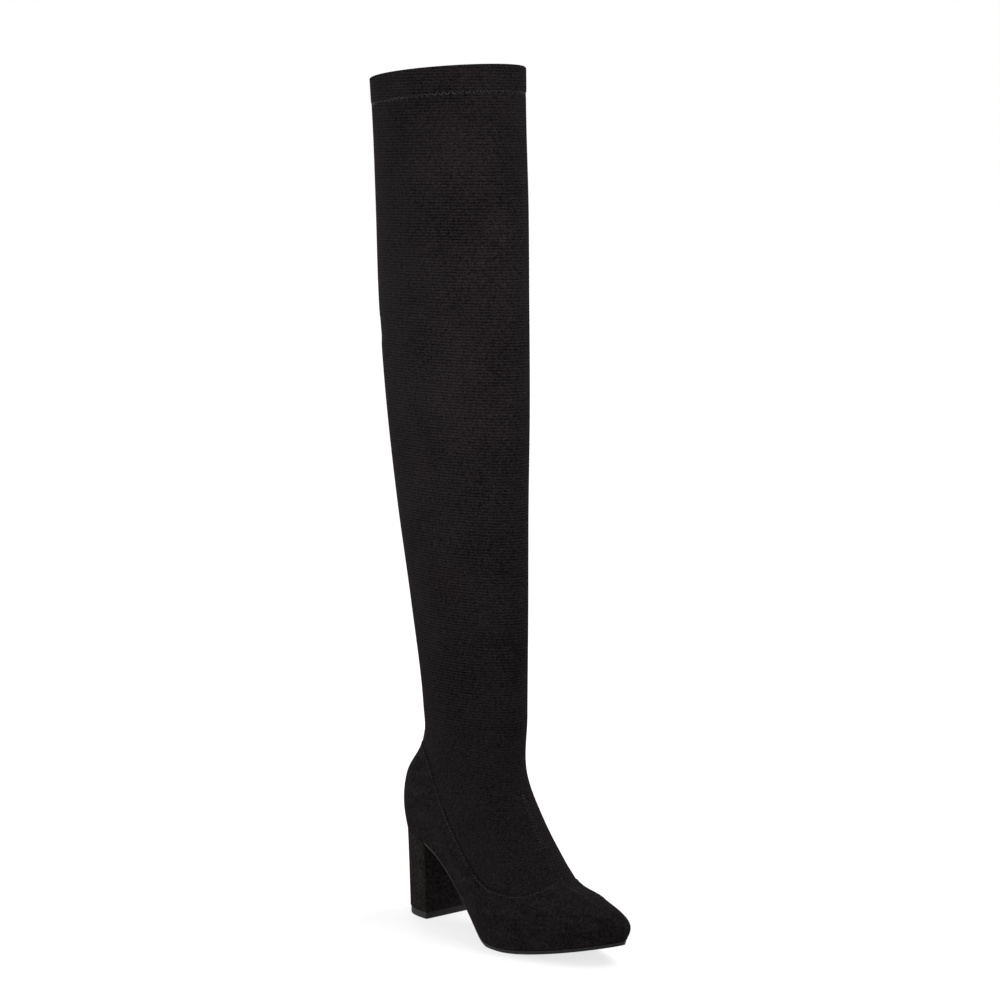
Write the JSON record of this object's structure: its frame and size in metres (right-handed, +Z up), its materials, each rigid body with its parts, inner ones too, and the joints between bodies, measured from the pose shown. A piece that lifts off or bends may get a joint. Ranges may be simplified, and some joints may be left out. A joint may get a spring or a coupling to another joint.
{
  "type": "thigh high boot",
  "caption": "Pull-on stretch boot that reaches above the knee, with a pointed toe, a covered block heel, a thin sole and a folded hem at its open collar.",
  "frame": {"origin": "centre of the heel's bottom face, on the floor", "axes": "+Z up along the leg, -Y towards the toe, -X towards the outer side of this right boot"},
  "size_m": [0.1076, 0.2727, 0.6829],
  "materials": {
    "upper": "matte black stretch fabric with a fine nap",
    "shaft": "matte black stretch fabric with fine ribs round the leg",
    "insole": "dark insole board with a soft cover",
    "outsole": "smooth dark sole, slightly glossy",
    "heel": "block covered in the shaft's black ribbed fabric",
    "top_lift": "black rubber, matte"
  },
  "bodies": {
    "root": {"upper": "upper", "shaft": "shaft", "insole": "insole", "outsole": "outsole", "heel": "heel", "top_lift": "top_lift"}
  },
  "joints": []
}
